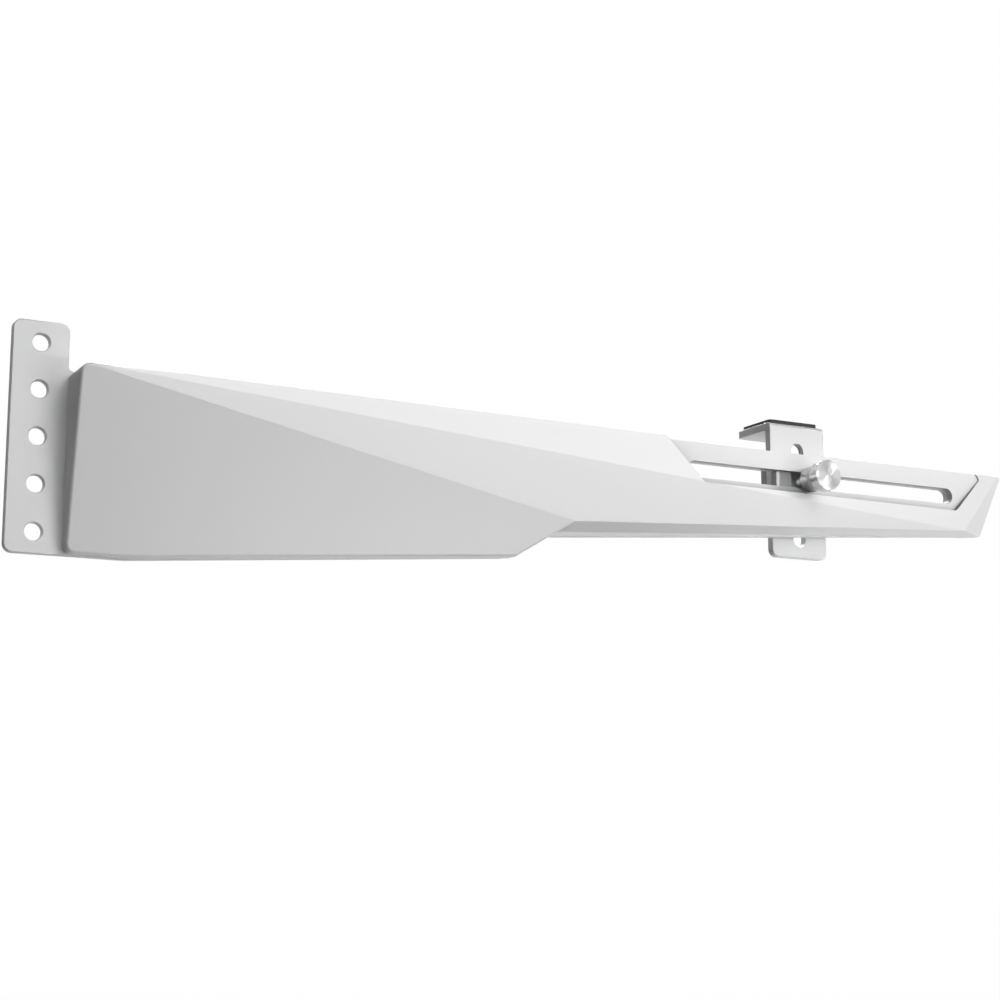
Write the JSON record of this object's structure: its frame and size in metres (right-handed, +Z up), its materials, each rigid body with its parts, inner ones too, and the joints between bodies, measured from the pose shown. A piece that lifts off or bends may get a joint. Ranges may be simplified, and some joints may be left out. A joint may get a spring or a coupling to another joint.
{
  "type": "graphics card support bracket",
  "caption": "Long arm with a row of screw holes in its end flange, a faceted front cover and a slot in which a clamped L-shaped bracket slides to hold up a graphics card.",
  "frame": {"origin": "centre of the middle flange hole, on the rear face of the mounting plate, which seats on the case", "axes": "+X along the arm away from the flange, +Y away from the viewer through the flange holes, +Z up"},
  "size_m": [0.2723, 0.0277, 0.05],
  "materials": {
    "white_steel": "fine satin white powder coat",
    "white_cover": "satin white moulded cover with a fine grain",
    "screw_steel": "zinc-plated steel",
    "black_steel": "dull black-oxide steel",
    "pad_rubber": "matt dark rubber",
    "turned_aluminium": "bright turned aluminium with fine circular tool marks",
    "grey_plastic": "grey moulded plastic"
  },
  "bodies": {
    "beam": {"mounting_plate": "white_steel", "front_cover": "white_cover", "cover_screws": "screw_steel"},
    "carriage": {"guide_block": "grey_plastic", "clamp_nut": "black_steel"},
    "support": {"support_bracket": "white_steel", "support_pad": "pad_rubber"},
    "screw": {"thumb_screw": "turned_aluminium"}
  },
  "joints": [
    {"name": "carriage_slide", "type": "slide", "parent": "beam", "child": "carriage", "axis": [1, 0, 0], "range_m": [-0.026, 0.0378]},
    {"name": "support_slide", "type": "slide", "parent": "carriage", "child": "support", "axis": [0, 0, 1], "range_m": [-0.0075, 0.0145]},
    {"name": "screw_turn", "type": "hinge", "parent": "carriage", "child": "screw", "pos_m": [0.19935, 0, 0.0079], "axis": [0, 1, 0], "continuous": true}
  ]
}
